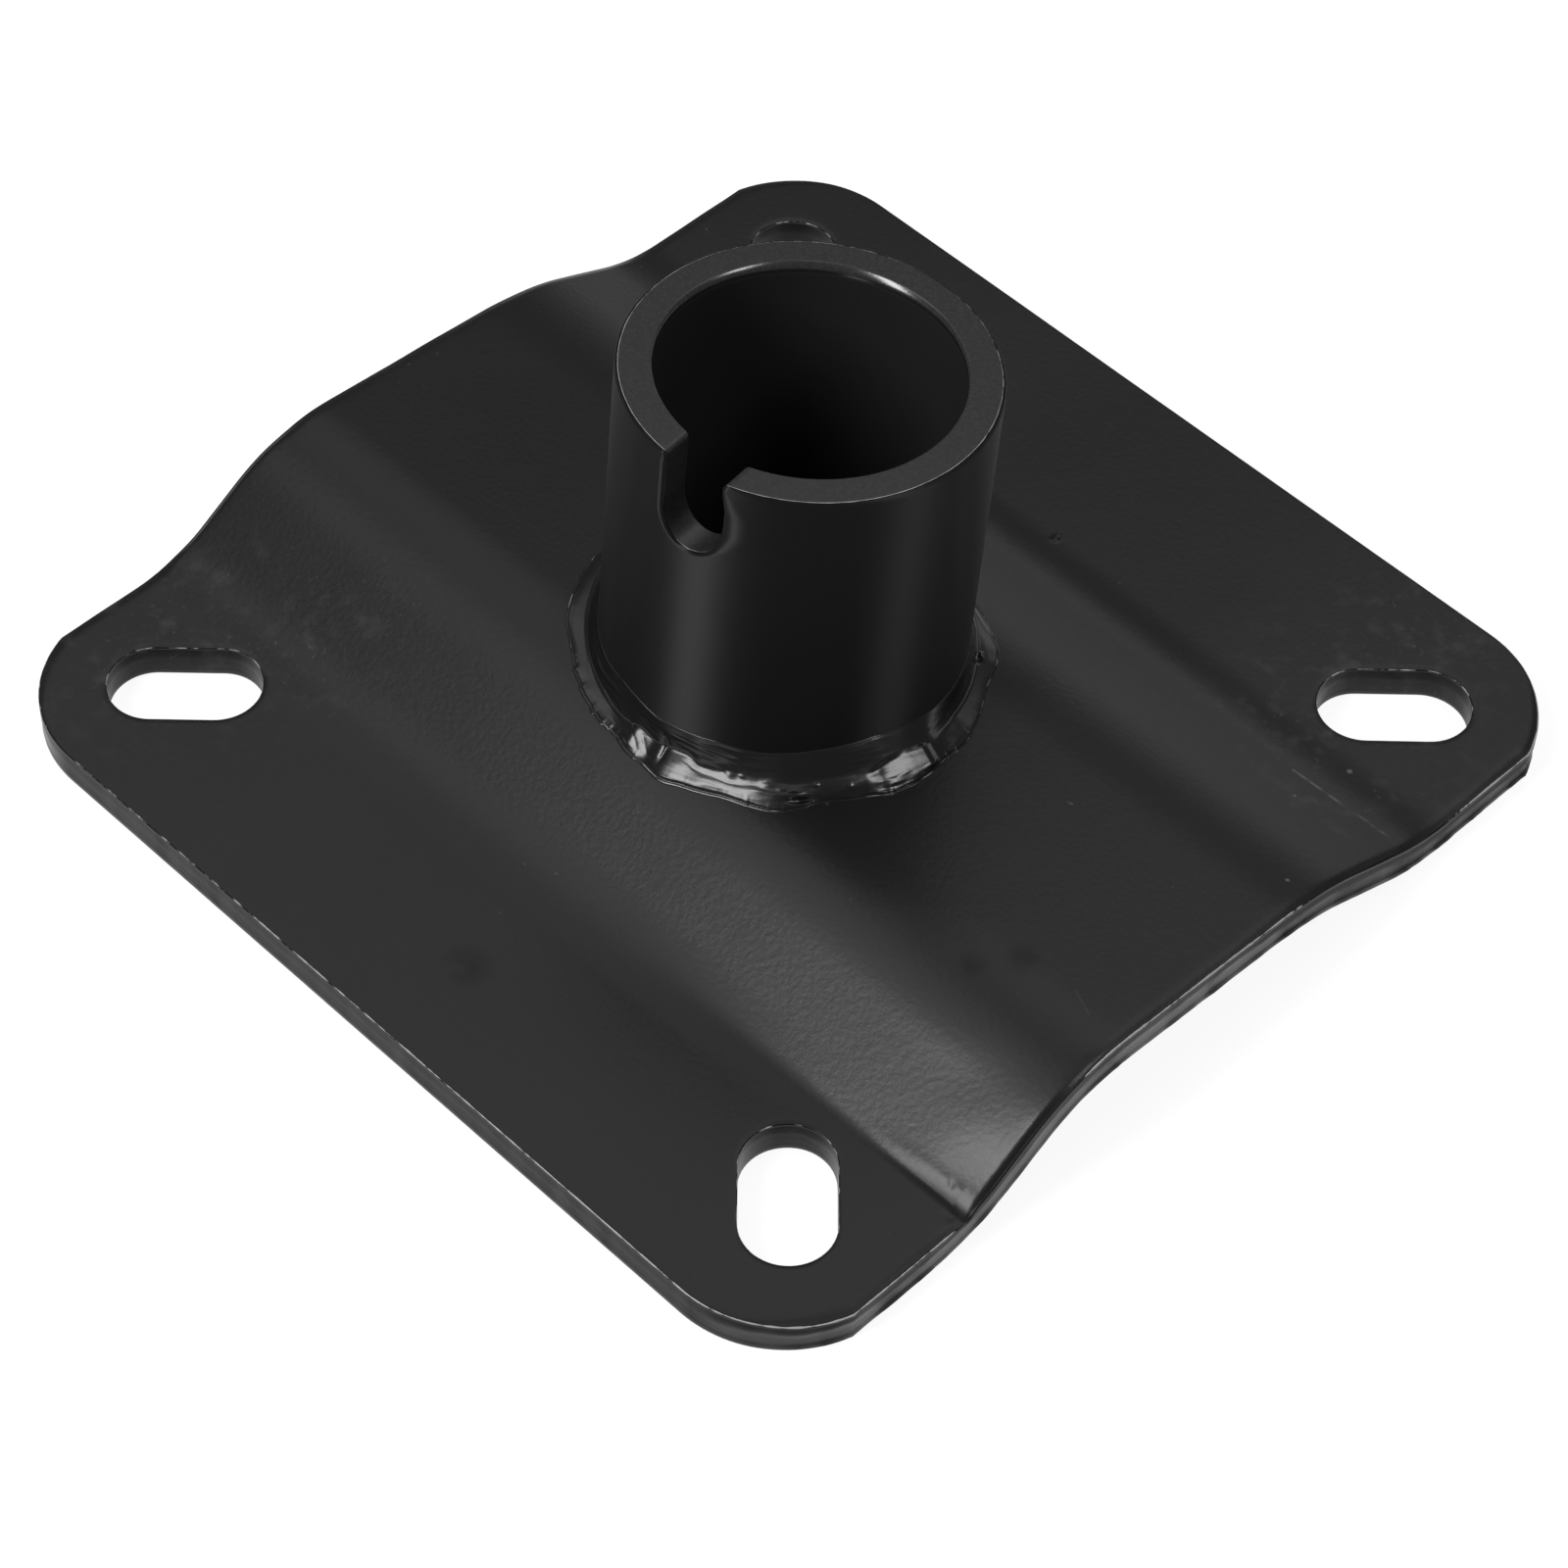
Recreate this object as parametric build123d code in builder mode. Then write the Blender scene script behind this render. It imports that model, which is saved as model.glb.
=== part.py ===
"""Seat mounting plate with a keyed socket tube, for a hydraulic barber chair.

Lengths are in millimetres. X runs along the bends of the plate, Y across them and Z up,
from the undersides of the two bolting flanges. The origin is the middle of the plate.
"""
from build123d import *
from math import cos, hypot, pi, radians, sin, tan
import os

# Plate blank
plate_length = 184.0      # along the bends
plate_width = 187.0       # across the bends
plate_thickness = 6.4
corner_radius = 22.0
corner_overrun = 1.0      # the corner arcs are struck this far outside the two short sides
edge_round = 0.6          # rolled upper edge of the blank, left by the shear

# Raised band, a hat section pressed between the two flanges
raise_height = 12.7       # clear height under the band, at the middle of the plate
rake_angle = 4.2          # the band falls this much towards +Y, and the tube leans with it
near_slope = 31.7         # climb from the -Y flange, in degrees
far_slope = 22.7          # climb from the +Y flange, in degrees
near_foot = 52.8          # from the middle to the start of the -Y climb, on the underside
far_foot = 49.8           # from the middle to the start of the +Y climb, on the underside
near_foot_bend = 27.0     # inside radii of the four bends
near_crest_bend = 27.0
far_crest_bend = 56.0
far_foot_bend = 32.0

# Bolt slots, one on each diagonal of the plate
slot_length = 25.5
slot_width = 15.2
slot_spacing_x = 140.0    # between slot centres
slot_spacing_y = 140.0
slot_turn = 45.0

# Socket tube, welded square to the raised band
tube_diameter = 60.0
tube_wall = 6.0
tube_height = 59.0
tube_shift_x = -1.5       # the tube is welded a little off the middle of the plate
tube_shift_y = -0.8
rim_round = 0.7
bore_bevel = 0.3

# Key notch in the rim of the tube
notch_width = 10.5
notch_depth = 16.3
notch_bearing = -81.5     # direction of the notch about the tube, from +X

# Weld bead round the foot of the tube
weld_leg = 6.0            # along the plate
weld_climb = 5.4          # up the tube
weld_bulge = 1.1          # convexity of the bead at half its height
weld_drop = 5.0           # how far the bead reaches down where the band bends away below it
weld_points = 36          # points in the wavy toe line

# The band's slope, and the plane of its upper face where the tube stands
rake = radians(rake_angle)
seat = Plane(
    origin=(
        tube_shift_x,
        tube_shift_y,
        raise_height + plate_thickness / cos(rake) - tube_shift_y * tan(rake),
    ),
    x_dir=(1, 0, 0),
    z_dir=(0, sin(rake), cos(rake)),
)
tube_radius = tube_diameter / 2


def toe_outline(reach):
    """Points of the bead's uneven outline, at a mean distance from the tube's wall."""
    points = []
    for k in range(weld_points):
        a = 2 * pi * k / weld_points
        ripple = 0.08 * sin(5 * a + 0.8) + 0.07 * sin(11 * a + 2.1)
        r = tube_radius + reach * (1 + ripple)
        points.append((r * cos(a), r * sin(a)))
    return points


def rim_edges(edges, radius):
    """Edges on the tube's wall of the given radius that bound the rim or the notch."""
    found = []
    for edge in edges:
        middle = seat.to_local_coords(edge @ 0.5)
        on_wall = abs(hypot(middle.X, middle.Y) - radius) < 0.01
        if on_wall and middle.Z > tube_height - notch_depth - 0.01:
            found.append(edge)
    return found


# Mounting plate: the hat section is drawn along its underside, thickened and cut to the blank
near_climb = tan(radians(near_slope))
far_climb = tan(radians(far_slope))
near_crest = (raise_height - near_climb * near_foot) / (near_climb + tan(rake))
far_crest = (far_climb * far_foot - raise_height) / (far_climb - tan(rake))
with BuildPart() as mounting_plate:
    with BuildSketch(Plane.YZ) as section:
        with BuildLine():
            FilletPolyline(
                (-plate_width / 2, 0),
                (-near_foot, 0),
                (near_crest, raise_height - near_crest * tan(rake)),
                (far_crest, raise_height - far_crest * tan(rake)),
                (far_foot, 0),
                (plate_width / 2, 0),
                radius=[
                    near_foot_bend + plate_thickness,
                    near_crest_bend,
                    far_crest_bend,
                    far_foot_bend + plate_thickness,
                ],
            )
            offset(amount=plate_thickness, side=Side.LEFT)
        make_face()
    extrude(amount=plate_length / 2, both=True)
    with BuildSketch(Plane.XY) as blank:
        RectangleRounded(plate_length + 2 * corner_overrun, plate_width, corner_radius)
        Rectangle(plate_length, plate_width, mode=Mode.INTERSECT)
    extrude(amount=raise_height + 4 * plate_thickness, mode=Mode.INTERSECT)
    upper_skin = mounting_plate.faces().filter_by(lambda face: face.normal_at().Z > 0.5)
    cut_walls = mounting_plate.faces().filter_by(lambda face: abs(face.normal_at().Z) < 0.01)
    fillet([edge for edge in upper_skin.edges() if edge in cut_walls.edges()], radius=edge_round)
    with BuildSketch(Plane.XY) as slots:
        for side_x in (-1, 1):
            for side_y in (-1, 1):
                with Locations((side_x * slot_spacing_x / 2, side_y * slot_spacing_y / 2)):
                    SlotOverall(slot_length, slot_width, rotation=side_x * side_y * slot_turn)
    extrude(amount=raise_height + plate_thickness, mode=Mode.SUBTRACT)
mounting_plate.part.label = "mounting_plate"

# Socket tube: cut square, standing on the band, with a rounded rim and a key notch
with BuildPart() as socket_tube:
    with BuildSketch(seat) as ring:
        Circle(tube_radius)
        Circle(tube_radius - tube_wall, mode=Mode.SUBTRACT)
    extrude(amount=tube_height)
    notch_axis = Axis(seat.origin, seat.z_dir)
    with BuildSketch(
        Plane(
            origin=seat.from_local_coords(Vector(0, 0, tube_height)),
            x_dir=seat.x_dir.rotate(notch_axis, notch_bearing + 90),
            z_dir=seat.x_dir.rotate(notch_axis, notch_bearing),
        )
    ) as notch:
        floor_centre = notch_width / 2 - notch_depth
        with Locations((0, floor_centre)):
            Circle(notch_width / 2)
            Rectangle(notch_width, notch_depth, align=(Align.CENTER, Align.MIN))
    extrude(amount=tube_diameter, mode=Mode.SUBTRACT)
    fillet(rim_edges(socket_tube.edges(), tube_radius), radius=rim_round)
    mouth = rim_edges(socket_tube.edges(), tube_radius - tube_wall)
    chamfer([edge for edge in mouth if edge.length > notch_width * 2], length=bore_bevel)
socket_tube.part.label = "socket_tube"

# Weld bead: a convex, uneven ring of filler, laid on the band and against the tube
with BuildPart() as weld_bead:
    with BuildSketch(seat.offset(-weld_drop)):
        with BuildLine():
            Spline(*toe_outline(weld_leg), periodic=True)
        make_face()
    extrude(amount=weld_drop)
    with BuildSketch(seat):
        with BuildLine():
            Spline(*toe_outline(weld_leg), periodic=True)
        make_face()
    with BuildSketch(seat.offset(weld_climb / 2)):
        with BuildLine():
            Spline(*toe_outline(weld_leg / 2 + weld_bulge), periodic=True)
        make_face()
    with BuildSketch(seat.offset(weld_climb)):
        with BuildLine():
            Spline(*toe_outline(weld_leg / 12), periodic=True)
        make_face()
    loft(ruled=True)
    with BuildSketch(seat.offset(-weld_drop)):
        Circle(tube_radius)
    extrude(amount=weld_drop + weld_climb, mode=Mode.SUBTRACT)
    add(mounting_plate.part, mode=Mode.SUBTRACT)
weld_bead.part.label = "weld_bead"

os.makedirs("parts", exist_ok=True)
export_step(mounting_plate.part, "parts/mounting_plate.step")
export_step(socket_tube.part, "parts/socket_tube.step")
export_step(weld_bead.part, "parts/weld_bead.step")
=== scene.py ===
"""Looks for a seat mounting plate with a keyed socket tube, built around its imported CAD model.

Lengths are written in millimetres and turned into metres where a mesh, lamp or camera is made.
X runs along the bends of the plate, Y across them and Z up from the undersides of the flanges.
"""
import bmesh
import bpy
import math
import numpy as np
from mathutils import Matrix, Vector, noise
from mathutils.geometry import delaunay_2d_cdt


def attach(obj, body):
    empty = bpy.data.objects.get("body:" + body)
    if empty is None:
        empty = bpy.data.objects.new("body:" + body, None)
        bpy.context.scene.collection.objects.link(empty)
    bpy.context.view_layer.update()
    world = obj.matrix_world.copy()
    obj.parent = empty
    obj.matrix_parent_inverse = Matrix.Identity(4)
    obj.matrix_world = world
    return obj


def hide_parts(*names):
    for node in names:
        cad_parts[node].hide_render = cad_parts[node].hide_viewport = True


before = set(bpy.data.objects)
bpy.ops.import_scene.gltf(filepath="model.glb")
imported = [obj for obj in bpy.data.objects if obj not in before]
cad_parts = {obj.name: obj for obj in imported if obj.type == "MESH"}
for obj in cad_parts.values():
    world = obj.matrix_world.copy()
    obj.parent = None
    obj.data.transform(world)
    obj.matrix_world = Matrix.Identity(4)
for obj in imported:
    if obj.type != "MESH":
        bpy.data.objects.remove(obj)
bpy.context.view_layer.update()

MM = 0.001

# Plate, as in the part's source
PLATE_LENGTH = 184.0
PLATE_WIDTH = 187.0
PLATE_THICKNESS = 6.4
CORNER_RADIUS = 22.0
CORNER_OVERRUN = 1.0
RAISE_HEIGHT = 12.7
RAKE = math.radians(4.2)
NEAR_SLOPE = math.radians(31.7)
FAR_SLOPE = math.radians(22.7)
NEAR_FOOT = 52.8
FAR_FOOT = 49.8
NEAR_FOOT_BEND = 27.0
NEAR_CREST_BEND = 27.0
FAR_CREST_BEND = 56.0
FAR_FOOT_BEND = 32.0
SLOT_LENGTH = 25.5
SLOT_WIDTH = 15.2
SLOT_SPACING = 140.0

# Socket tube, as in the part's source
TUBE_RADIUS = 30.0
BORE_RADIUS = 24.0
TUBE_HEIGHT = 59.0
TUBE_SHIFT = (-1.5, -0.8)
NOTCH_WIDTH = 10.5
NOTCH_DEPTH = 16.3
NOTCH_BEARING = math.radians(-81.5)

SEAT_Z = RAISE_HEIGHT + PLATE_THICKNESS / math.cos(RAKE) - TUBE_SHIFT[1] * math.tan(RAKE)
SEAT = np.array([TUBE_SHIFT[0], TUBE_SHIFT[1], SEAT_Z])
SEAT_X = np.array([1.0, 0.0, 0.0])
SEAT_Y = np.array([0.0, math.cos(RAKE), -math.sin(RAKE)])
SEAT_UP = np.array([0.0, math.sin(RAKE), math.cos(RAKE)])


def noise_at(points, scale, seed=0.0):
    """Smooth noise from -1 to 1 at rows of points, with one wave about every 1 / scale."""
    shift = np.array([seed, -seed, 3.1 * seed])
    return np.array([noise.noise(Vector(p)) for p in points * scale + shift])


def flat_noise(x, y, scale, seed=0.0):
    """The same noise over a plane."""
    return noise_at(np.stack([x, y, np.zeros_like(x)], 1), scale, seed)


def ease(value, low, high):
    """Smooth step from 0 at low to 1 at high."""
    t = np.clip((value - low) / (high - low), 0, 1)
    return t * t * (3 - 2 * t)


def bump_at(distance, width):
    """Bell curve with a top of 1."""
    return np.exp(-(distance / width) ** 2)


def angle_from(angles, bearing):
    """Turns from a bearing in degrees to angles in radians, from -pi to pi."""
    return np.angle(np.exp(1j * (angles - math.radians(bearing))))


# The plate's section, with this many steps round each of its bends
BEND_STEPS = 40


def section_lines(near_foot_bend=NEAR_FOOT_BEND):
    """The plate's underside as a line of straights and arcs, and its upper face above it."""
    near_climb, far_climb = math.tan(NEAR_SLOPE), math.tan(FAR_SLOPE)
    fall = math.tan(RAKE)
    near_crest = (RAISE_HEIGHT - near_climb * NEAR_FOOT) / (near_climb + fall)
    far_crest = (far_climb * FAR_FOOT - RAISE_HEIGHT) / (far_climb - fall)
    corners = np.array([
        (-PLATE_WIDTH, 0.0),
        (-NEAR_FOOT, 0.0),
        (near_crest, RAISE_HEIGHT - near_crest * fall),
        (far_crest, RAISE_HEIGHT - far_crest * fall),
        (FAR_FOOT, 0.0),
        (PLATE_WIDTH, 0.0),
    ])
    radii = [
        near_foot_bend + PLATE_THICKNESS,
        NEAR_CREST_BEND,
        FAR_CREST_BEND,
        FAR_FOOT_BEND + PLATE_THICKNESS,
    ]
    line, normals = [corners[0]], [np.array([0.0, 1.0])]
    for before, corner, after, radius in zip(corners, corners[1:], corners[2:], radii):
        u = (corner - before) / np.linalg.norm(corner - before)
        v = (after - corner) / np.linalg.norm(after - corner)
        turn = u[0] * v[1] - u[1] * v[0]
        side = math.copysign(1.0, turn)
        bend = math.acos(float(u @ v))
        start = corner - u * radius * math.tan(bend / 2)
        out = np.array([-u[1], u[0]])
        centre = start + out * radius * side
        across = np.array([-out[1], out[0]])
        for k in range(BEND_STEPS + 1):
            a = bend * k / BEND_STEPS * side
            n = out * math.cos(a) + across * math.sin(a)
            line.append(centre - n * radius * side)
            normals.append(n)
    line.append(corners[-1])
    normals.append(np.array([0.0, 1.0]))
    line, normals = np.array(line), np.array(normals)
    return line, line + normals * PLATE_THICKNESS


UNDERSIDE, UPPER_FACE = section_lines()
TIGHT_UPPER_FACE = section_lines(near_foot_bend=5.0)[1]    # where the near foot is pressed sharp


def plate_bottom(y):
    return np.interp(y, UNDERSIDE[:, 0], UNDERSIDE[:, 1])


def plate_top(y):
    return np.interp(y, UPPER_FACE[:, 0], UPPER_FACE[:, 1])


# A thick sheet: two faces over one flat domain, joined round their edges by rings
def thick_sheet(name, loops, grid, place):
    """A piece from loops of (points, outward normals, closed, rings) and a grid of points between them.

    A ring is (inset, share, wear), all per point, and may end with a depth attribute of its own,
    which is else its share. The first and last ring of a loop have the same insets, and bound the
    two faces. place(points, share) turns points of the domain into points in space.
    """
    flat, edges, loop_starts, borders = [], [], [], []
    for points, normals, closed, rings in loops:
        first = len(flat)
        loop_starts.append(first)
        borders.append(points - normals * rings[0][0][:, None])
        flat.extend(borders[-1])
        count = len(points)
        edges.extend((first + k, first + (k + 1) % count) for k in range(count if closed else count - 1))
    if not loops[0][2]:
        borders = [np.concatenate([borders[0], borders[1][::-1]])]
    flat.extend(grid)
    flat = np.array(flat)
    made = delaunay_2d_cdt([Vector(p) for p in flat], edges, [], 0, 1e-5)
    back = [origin[0] for origin in made[3]]
    triangles = np.array([[back[i] for i in face] for face in made[2]])
    triangles = triangles[within(flat[triangles].mean(1), borders)]
    total = len(flat)
    vertices = [place(flat, np.zeros(total)), place(flat, np.ones(total))]
    wear = [np.zeros(total), np.zeros(total)]
    depth = [np.zeros(total), np.ones(total)]
    faces = [tuple(t) for t in triangles] + [tuple(t[::-1] + total) for t in triangles]
    next_index = 2 * total
    for (points, normals, closed, rings), first in zip(loops, loop_starts):
        count = len(points)
        above = np.arange(first, first + count)
        for inset, share, worn, *own_depth in rings[1:-1]:
            vertices.append(place(points - normals * inset[:, None], share))
            wear.append(worn)
            depth.append(own_depth[0] if own_depth else share)
            below = np.arange(next_index, next_index + count)
            next_index += count
            join_rings(faces, above, below, closed)
            above = below
        join_rings(faces, above, np.arange(first, first + count) + total, closed)
    return make_mesh(name, np.concatenate(vertices), faces, np.concatenate(wear), np.concatenate(depth))


def within(points, borders):
    """Whether points lie inside an odd number of closed borders."""
    odd = np.zeros(len(points), bool)
    for border in borders:
        for a, b in zip(border, np.roll(border, -1, axis=0)):
            if a[1] != b[1]:
                level = (a[1] > points[:, 1]) != (b[1] > points[:, 1])
                odd ^= level & (points[:, 0] < (b[0] - a[0]) * (points[:, 1] - a[1]) / (b[1] - a[1]) + a[0])
    return odd


def join_rings(faces, above, below, closed):
    """Adds a strip of faces between two rings of vertices."""
    count = len(above)
    for k in range(count if closed else count - 1):
        m = (k + 1) % count
        faces.append((above[k], above[m], below[m], below[k]))


def make_mesh(name, points, faces, wear, depth):
    """A mesh in metres, from points in millimetres, with wear and depth attributes."""
    mesh = bpy.data.meshes.new(name)
    mesh.from_pydata((points * MM).tolist(), [], [tuple(int(i) for i in f) for f in faces])
    for title, values in (("wear", wear), ("depth", depth)):
        attribute = mesh.attributes.new(title, "FLOAT", "POINT")
        attribute.data.foreach_set("value", np.asarray(values, np.float32))
    return add_object(name, mesh)


def add_object(name, data):
    """An object in the scene, for a mesh, lamp or camera."""
    made = bpy.data.objects.new(name, data)
    bpy.context.scene.collection.objects.link(made)
    return made


def close_up(piece, merge=0.00001):
    """Merges doubled points, turns all faces outward and shades the piece smooth."""
    work = bmesh.new()
    work.from_mesh(piece.data)
    bmesh.ops.remove_doubles(work, verts=work.verts, dist=merge)
    loose = [v for v in work.verts if not v.link_faces]
    bmesh.ops.delete(work, geom=loose, context="VERTS")
    bmesh.ops.recalc_face_normals(work, faces=work.faces)
    work.to_mesh(piece.data)
    work.free()
    piece.data.polygons.foreach_set("use_smooth", [True] * len(piece.data.polygons))
    piece.data.update()


# Mounting plate, whose two faces start this far in from its edges
FACE_INSET = 3.2


def straight(start, end, step):
    """Points from start up to, but without, end."""
    start, end = np.array(start, float), np.array(end, float)
    count = max(2, int(round(np.linalg.norm(end - start) / step)))
    return [start + (end - start) * k / count for k in range(count)]


def blank_outline(step=1.1):
    """The plate's outline, anticlockwise, with outward normals."""
    half_x, half_y = PLATE_LENGTH / 2, PLATE_WIDTH / 2
    cx, cy = half_x + CORNER_OVERRUN - CORNER_RADIUS, half_y - CORNER_RADIUS
    kink = math.acos((half_x - cx) / CORNER_RADIUS)
    rise = CORNER_RADIUS * math.sin(kink)
    turn = math.degrees(kink)
    # Each corner's centre and the bearings of its arc, then the next side's direction and its end
    quarters = (
        ((cx, -cy), (-90, -turn), (1.0, 0.0), (half_x, cy + rise)),
        ((cx, cy), (turn, 90), (0.0, 1.0), (-cx, half_y)),
        ((-cx, cy), (90, 180 - turn), (-1.0, 0.0), (-half_x, -cy - rise)),
        ((-cx, -cy), (180 + turn, 270), (0.0, -1.0), (cx, -half_y)),
    )
    points, normals = [], []
    for centre, (low, high), facing, end in quarters:
        count = int(CORNER_RADIUS * math.radians(high - low) / step)
        for k in range(count + 1):
            a = math.radians(low + (high - low) * k / count)
            out = np.array([math.cos(a), math.sin(a)])
            points.append(np.array(centre) + CORNER_RADIUS * out)
            normals.append(out)
        side = straight(points[-1], end, step)[1:]
        points.extend(side)
        normals.extend([np.array(facing)] * len(side))
    return np.array(points), np.array(normals)


def slot_outline(centre, turn, step=0.8):
    """One slot's outline, with normals into the slot."""
    reach = (SLOT_LENGTH - SLOT_WIDTH) / 2
    radius = SLOT_WIDTH / 2
    along = np.array([math.cos(turn), math.sin(turn)])
    points, normals = [], []
    for end in (1, -1):
        count = int(math.pi * radius / step)
        for k in range(count + 1):
            a = turn + (math.pi * k / count - math.pi / 2) + (0 if end == 1 else math.pi)
            out = np.array([math.cos(a), math.sin(a)])
            points.append(np.array(centre) + along * reach * end + out * radius)
            normals.append(-out)
        across = normals[-1]
        start = points[-1]
        side = straight(start, start - along * 2 * reach * end, step)[1:]
        points.extend(side)
        normals.extend([across] * len(side))
    return np.array(points), np.array(normals)


def slot_places():
    """Each slot's centre and the turn of its long axis."""
    for sx in (-1, 1):
        for sy in (-1, 1):
            yield np.array([sx, sy]) * SLOT_SPACING / 2, sx * sy * math.pi / 4


def blank_depth(p):
    """How far points lie inside the plate's outline."""
    x, y = np.abs(p[:, 0]), np.abs(p[:, 1])
    cx = PLATE_LENGTH / 2 + CORNER_OVERRUN - CORNER_RADIUS
    cy = PLATE_WIDTH / 2 - CORNER_RADIUS
    depth = np.minimum(PLATE_LENGTH / 2 - x, PLATE_WIDTH / 2 - y)
    corner = (x > cx) & (y > cy)
    return np.where(corner, np.minimum(depth, CORNER_RADIUS - np.hypot(x - cx, y - cy)), depth)


def slot_clearance(p):
    """How far points lie outside the nearest slot."""
    clear = np.full(len(p), 1e9)
    reach = (SLOT_LENGTH - SLOT_WIDTH) / 2
    for centre, turn in slot_places():
        along = np.array([math.cos(turn), math.sin(turn)])
        d = p - centre
        t = np.clip(d @ along, -reach, reach)
        clear = np.minimum(clear, np.linalg.norm(d - t[:, None] * along, axis=1) - SLOT_WIDTH / 2)
    return clear


# How dull the coat is down a sheared wall, from below the arris over the smooth cut to the torn part; the
# dulling is partly painted shade, darkening the walls' reflections
BLANK_DULLNESS_AND_SHADE = (0.85, 0.95, 0.80, 0.45, 0.10, 0.0, 0.20, 0.55)
SLOT_DULLNESS_AND_SHADE = (0.95, 0.90, 0.85, 0.80, 0.75, 0.65, 0.55, 0.45)
# The walls that face along Y are dulled evenly all the way down, as painted shade
END_DULLNESS_AND_SHADE = 0.86       # where evenness is 1, all the way down

# Rings over a sheared edge: shares of the roll's width, and how bare the arris is from top to bottom, which
# is worn coat, and on the plate's walls that follow the bends also a painted highlight
ROLL_SHARES = (0.85, 0.7, 0.55, 0.4, 0.25, 0.12)
ARRIS_WEAR_AND_HIGHLIGHT = (0.0, 0.4, 0.9, 1.0, 0.8, 0.3, 0.0)


def edge_rings(
    points, roll_width, roll_drop, arris, torn_depth, burr, dullness_and_shade, wear_and_highlight, evenness=0.0, painted_wall_shade=0.0
):
    """Rings over a sheared edge: shallow roll, arris, smooth cut, torn lower part and ragged burr.

    wear_and_highlight is how bare the arris is, which is worn coat and on the walls that follow the bends
    also a painted highlight, or how dull where it is below 0, and painted_wall_shade is painted shade, a
    dulling of the coat that is added all the way down. All but dullness_and_shade may differ from point to
    point.
    """
    x, y = points.T
    height = plate_top(y) - plate_bottom(y)
    wander = flat_noise(x, y, 0.11, 4.0)
    ragged = flat_noise(x, y, 0.30, 9.0)
    spiky = flat_noise(x, y, 0.9, 2.0)
    zero = np.zeros(len(points))
    drop = roll_drop * (1 + 0.3 * wander)

    def dull(k):
        level = dullness_and_shade[k] * (1 - evenness) + END_DULLNESS_AND_SHADE * evenness
        return -np.clip(level + painted_wall_shade + 0.15 * ragged, 0.0, 1.0)

    rings = [(zero + FACE_INSET, zero, zero)]
    for t in ROLL_SHARES:
        inset = arris + (roll_width - arris) * t
        rings.append((inset, drop * (1 - inset / roll_width) ** 3 / height, zero))
    start = drop * (1 - arris / roll_width) ** 3
    for k, share in enumerate(ARRIS_WEAR_AND_HIGHLIGHT):
        a = math.pi / 2 * k / (len(ARRIS_WEAR_AND_HIGHLIGHT) - 1)
        down = start + arris * (1 - math.cos(a))
        rings.append((arris * (1 - math.sin(a)), down / height, zero + share * wear_and_highlight))
    low = (start + arris) / height
    cut = 0.40 + 0.10 * wander + 0.06 * ragged
    rings.append((zero, low + (cut - low) * 0.12, dull(0)))
    for k, t in enumerate((0.3, 0.7, 1.0)):
        rings.append((0.03 * torn_depth * spiky, low + (cut - low) * t, dull(1 + k)))
    for k, t in enumerate((0.12, 0.35, 0.6, 0.85)):
        torn = torn_depth * (0.6 + 0.5 * t + 0.35 * ragged + 0.35 * spiky * (1 if t > 0.3 else 0.3))
        rings.append((torn, cut + (0.93 - cut) * t, dull(4 + k)))
    tear = burr * np.clip(0.4 + ragged + 0.5 * spiky, 0, 2)
    rings.append((torn_depth * 0.5 - tear * 0.6, 1 - (0.25 + tear * 0.7) / height, zero))
    rings.append((torn_depth * 0.7 - tear * 0.3, 1 - (0.05 + tear * 0.35) / height, zero))
    rings.append((torn_depth + 0.5, zero + 1, zero))
    rings.append((zero + FACE_INSET, zero + 1, zero))
    return rings


# Marks on the plate: the crease at the foot of the near slope, and a drop of weld spatter
CREASE_Y = -54.4
SPATTER = (6.4, 56.6)

# Stretches where the rows of the plate's grid lie closer together, along X and along Y
FINE_X = ((50, 92),)
FINE_Y = ((-66, -14), (0, 62))


def press_marks(x, y):
    """Height that the press tool and later knocks add to the plate's upper face."""
    tight = np.interp(y, TIGHT_UPPER_FACE[:, 0], TIGHT_UPPER_FACE[:, 1]) - plate_top(y)
    tight = tight * ease(x, 18, 74) * ((y > -70) & (y < -40))
    crease_y = CREASE_Y + 1.0 * ease(x, 66, 92)
    groove = -0.42 * ease(x, 70, 86) * bump_at(y - crease_y + 0.2, 1.05)
    crest = 0.12 * ease(x, 66, 88) * bump_at(y - crease_y - 1.6, 0.9)
    pocket = -0.35 * bump_at(np.hypot(x - 90.0, (y - CREASE_Y) * 0.8), 1.3)
    pit = -0.14 * bump_at(np.hypot(x - 86.5, y + 52.0), 0.50)
    curl = -0.75 * ease(x, 76, 93) ** 2 * bump_at(y + 49.0, 6.0)
    dimple = -0.22 * bump_at(np.hypot((x - 80) * 0.6, y + 38.5), 4.5)
    wave = 0.05 * flat_noise(x, y, 0.035, 3.0) + 0.02 * flat_noise(x, y, 0.09, 5.0)
    spatter = 0.45 * bump_at(np.hypot(x - SPATTER[0], (y - SPATTER[1]) * 0.8), 0.55)
    return tight + groove + crest + pocket + pit + curl + dimple + wave + spatter


def plate_place(p, share):
    """Points of the plate's plan at a share of its thickness below the upper face."""
    x, y = p.T
    top, bottom = plate_top(y), plate_bottom(y)
    z = top + (bottom - top) * share
    z = z + press_marks(x, y) * (1 - ease(share, 0.0, 0.5))
    return np.stack([x, y, z], 1)


def grid_rows(low, high, fine_ranges, coarse, fine):
    """Positions from low to high, closer together inside the fine ranges."""
    rows = [low]
    while rows[-1] < high:
        step = fine if any(a <= rows[-1] <= b for a, b in fine_ranges) else coarse
        rows.append(rows[-1] + step)
    return np.array(rows[:-1])


def fine_patch(centre, radius, step):
    """A square patch of closely spaced points."""
    steps = np.arange(-radius, radius + step / 2, step)
    return np.array([(centre[0] + x, centre[1] + y) for y in steps for x in steps])


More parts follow.
